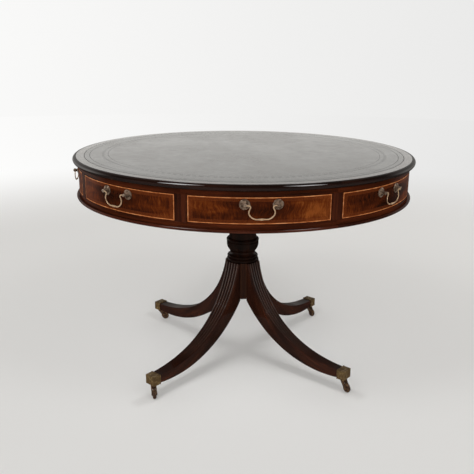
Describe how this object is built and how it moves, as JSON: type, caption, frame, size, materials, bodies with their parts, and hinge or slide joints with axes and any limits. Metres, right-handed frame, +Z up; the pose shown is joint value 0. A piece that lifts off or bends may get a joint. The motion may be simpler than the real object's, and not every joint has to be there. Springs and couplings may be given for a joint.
{
  "type": "drum table",
  "caption": "Revolving drum table: round leather-lined top over inlaid frieze drawers with bail handles, on a turned column with reeded sabre legs and brass castors.",
  "frame": {"origin": "on the floor, on the axis of the column", "axes": "+Z up, the front drawer faces -Y, +X to its right"},
  "size_m": [1.1499, 1.15, 0.7535],
  "materials": {
    "top_wood": "polished",
    "leather": "satin",
    "rail_wood": "polished",
    "stile_wood": "polished",
    "front_veneer": "polished",
    "bead_wood": "polished",
    "carcass_wood": "matt",
    "drawer_wood": "matt",
    "pedestal_wood": "polished",
    "post_wood": "matt",
    "handle_brass": "lacquered",
    "castor_brass": "aged"
  },
  "bodies": {
    "pedestal": {"column": "pedestal_wood", "bearer_plate": "pedestal_wood", "pivot_post": "post_wood", "post_key": "post_wood", "leg_front_left": "pedestal_wood", "leg_front_right": "pedestal_wood", "leg_back_right": "pedestal_wood", "leg_back_left": "pedestal_wood", "toe_caps": "castor_brass"},
    "drum": {"top_board": "top_wood", "leather_top": "leather", "upper_rail": "rail_wood", "lower_rail": "rail_wood", "bottom_board": "bead_wood", "hub_block": "carcass_wood", "frieze_stiles": "stile_wood", "drawer_guides": "carcass_wood", "drawer_stops": "carcass_wood", "dummy_fronts": "front_veneer", "dummy_rosettes": "handle_brass"},
    "drawer_1": {"drawer_1_front": "front_veneer", "drawer_1_sides": "drawer_wood", "drawer_1_bottom": "drawer_wood", "drawer_1_rosettes": "handle_brass"},
    "drawer_3": {"drawer_3_front": "front_veneer", "drawer_3_sides": "drawer_wood", "drawer_3_bottom": "drawer_wood", "drawer_3_rosettes": "handle_brass"},
    "drawer_5": {"drawer_5_front": "front_veneer", "drawer_5_sides": "drawer_wood", "drawer_5_bottom": "drawer_wood", "drawer_5_rosettes": "handle_brass"},
    "drawer_7": {"drawer_7_front": "front_veneer", "drawer_7_sides": "drawer_wood", "drawer_7_bottom": "drawer_wood", "drawer_7_rosettes": "handle_brass"},
    "hanging_bail_1": {"bail_1": "handle_brass"},
    "hanging_bail_2": {"bail_2": "handle_brass"},
    "hanging_bail_3": {"bail_3": "handle_brass"},
    "hanging_bail_4": {"bail_4": "handle_brass"},
    "hanging_bail_5": {"bail_5": "handle_brass"},
    "hanging_bail_6": {"bail_6": "handle_brass"},
    "hanging_bail_7": {"bail_7": "handle_brass"},
    "hanging_bail_8": {"bail_8": "handle_brass"},
    "castor_front_left": {"castor_horn_front_left": "castor_brass"},
    "wheel_front_left": {"castor_wheel_front_left": "castor_brass"},
    "castor_front_right": {"castor_horn_front_right": "castor_brass"},
    "wheel_front_right": {"castor_wheel_front_right": "castor_brass"},
    "castor_back_right": {"castor_horn_back_right": "castor_brass"},
    "wheel_back_right": {"castor_wheel_back_right": "castor_brass"},
    "castor_back_left": {"castor_horn_back_left": "castor_brass"},
    "wheel_back_left": {"castor_wheel_back_left": "castor_brass"}
  },
  "joints": [
    {"name": "drum_turn", "type": "hinge", "parent": "pedestal", "child": "drum", "pos_m": [0, 0, 0.6199], "axis": [0, 0, 1], "continuous": true},
    {"name": "drawer_1_slide", "type": "slide", "parent": "drum", "child": "drawer_1", "axis": [0, -1, 0], "range_m": [0, 0.22]},
    {"name": "drawer_3_slide", "type": "slide", "parent": "drum", "child": "drawer_3", "axis": [1, 0, 0], "range_m": [0, 0.22]},
    {"name": "drawer_5_slide", "type": "slide", "parent": "drum", "child": "drawer_5", "axis": [0, 1, 0], "range_m": [0, 0.22]},
    {"name": "drawer_7_slide", "type": "slide", "parent": "drum", "child": "drawer_7", "axis": [-1, 0, 0], "range_m": [0, 0.22]},
    {"name": "bail_1_swing", "type": "hinge", "parent": "drawer_1", "child": "hanging_bail_1", "pos_m": [0, -0.57168, 0.6985], "axis": [-1, 0, 0], "range_deg": [-8, 90]},
    {"name": "bail_2_swing", "type": "hinge", "parent": "drum", "child": "hanging_bail_2", "pos_m": [0.40424, -0.40424, 0.6985], "axis": [-0.7071, -0.7071, 0], "range_deg": [-8, 90]},
    {"name": "bail_3_swing", "type": "hinge", "parent": "drawer_3", "child": "hanging_bail_3", "pos_m": [0.57168, 0, 0.6985], "axis": [0, -1, 0], "range_deg": [-8, 90]},
    {"name": "bail_4_swing", "type": "hinge", "parent": "drum", "child": "hanging_bail_4", "pos_m": [0.40424, 0.40424, 0.6985], "axis": [0.7071, -0.7071, 0], "range_deg": [-8, 90]},
    {"name": "bail_5_swing", "type": "hinge", "parent": "drawer_5", "child": "hanging_bail_5", "pos_m": [0, 0.57168, 0.6985], "axis": [1, 0, 0], "range_deg": [-8, 90]},
    {"name": "bail_6_swing", "type": "hinge", "parent": "drum", "child": "hanging_bail_6", "pos_m": [-0.40424, 0.40424, 0.6985], "axis": [0.7071, 0.7071, 0], "range_deg": [-8, 90]},
    {"name": "bail_7_swing", "type": "hinge", "parent": "drawer_7", "child": "hanging_bail_7", "pos_m": [-0.57168, 0, 0.6985], "axis": [0, 1, 0], "range_deg": [-8, 90]},
    {"name": "bail_8_swing", "type": "hinge", "parent": "drum", "child": "hanging_bail_8", "pos_m": [-0.40424, -0.40424, 0.6985], "axis": [-0.7071, 0.7071, 0], "range_deg": [-8, 90]},
    {"name": "castor_front_left_swivel", "type": "hinge", "parent": "pedestal", "child": "castor_front_left", "pos_m": [-0.31449, -0.31449, 0.0434], "axis": [0, 0, 1], "continuous": true},
    {"name": "wheel_front_left_spin", "type": "hinge", "parent": "castor_front_left", "child": "wheel_front_left", "pos_m": [-0.31101, -0.33418, 0.016], "axis": [0.9848, 0.1736, 0], "continuous": true},
    {"name": "castor_front_right_swivel", "type": "hinge", "parent": "pedestal", "child": "castor_front_right", "pos_m": [0.31449, -0.31449, 0.0434], "axis": [0, 0, 1], "continuous": true},
    {"name": "wheel_front_right_spin", "type": "hinge", "parent": "castor_front_right", "child": "wheel_front_right", "pos_m": [0.32294, -0.33261, 0.016], "axis": [0.9063, 0.4226, 0], "continuous": true},
    {"name": "castor_back_right_swivel", "type": "hinge", "parent": "pedestal", "child": "castor_back_right", "pos_m": [0.31449, 0.31449, 0.0434], "axis": [0, 0, 1], "continuous": true},
    {"name": "wheel_back_right_spin", "type": "hinge", "parent": "castor_back_right", "child": "wheel_back_right", "pos_m": [0.32388, 0.29683, 0.016], "axis": [0.8829, 0.4695, 0], "continuous": true},
    {"name": "castor_back_left_swivel", "type": "hinge", "parent": "pedestal", "child": "castor_back_left", "pos_m": [-0.31449, 0.31449, 0.0434], "axis": [0, 0, 1], "continuous": true},
    {"name": "wheel_back_left_spin", "type": "hinge", "parent": "castor_back_left", "child": "wheel_back_left", "pos_m": [-0.29667, 0.30541, 0.016], "axis": [0.454, 0.891, 0], "continuous": true}
  ]
}
